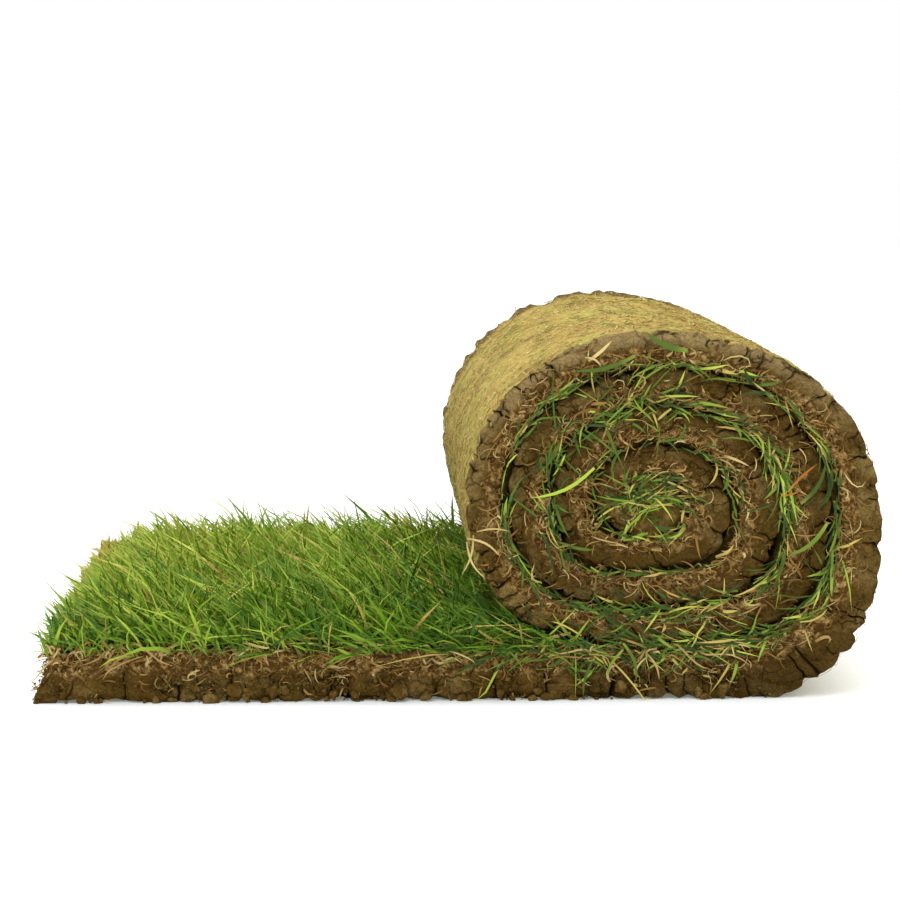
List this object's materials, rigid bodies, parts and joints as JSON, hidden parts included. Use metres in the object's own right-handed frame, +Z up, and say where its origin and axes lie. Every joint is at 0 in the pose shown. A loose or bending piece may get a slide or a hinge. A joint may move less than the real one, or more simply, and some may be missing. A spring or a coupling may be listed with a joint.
{
  "type": "roll of turf",
  "caption": "Strip of lawn turf rolled up with the grass inside, its last stretch left flat on the ground.",
  "frame": {"origin": "on the ground, below the middle of the whole thing", "axes": "+X along the strip from its cut end to the roll, +Y across the strip's width, +Z up"},
  "size_m": [0.5092, 0.406, 0.2223],
  "materials": {
    "soil": "moist crumbly soil bound by straw-coloured roots and thatch",
    "grass": "fresh lawn grass, mid green, softly glossy blades"
  },
  "bodies": {
    "root": {"soil_mat": "soil", "grass": "grass"}
  },
  "joints": []
}
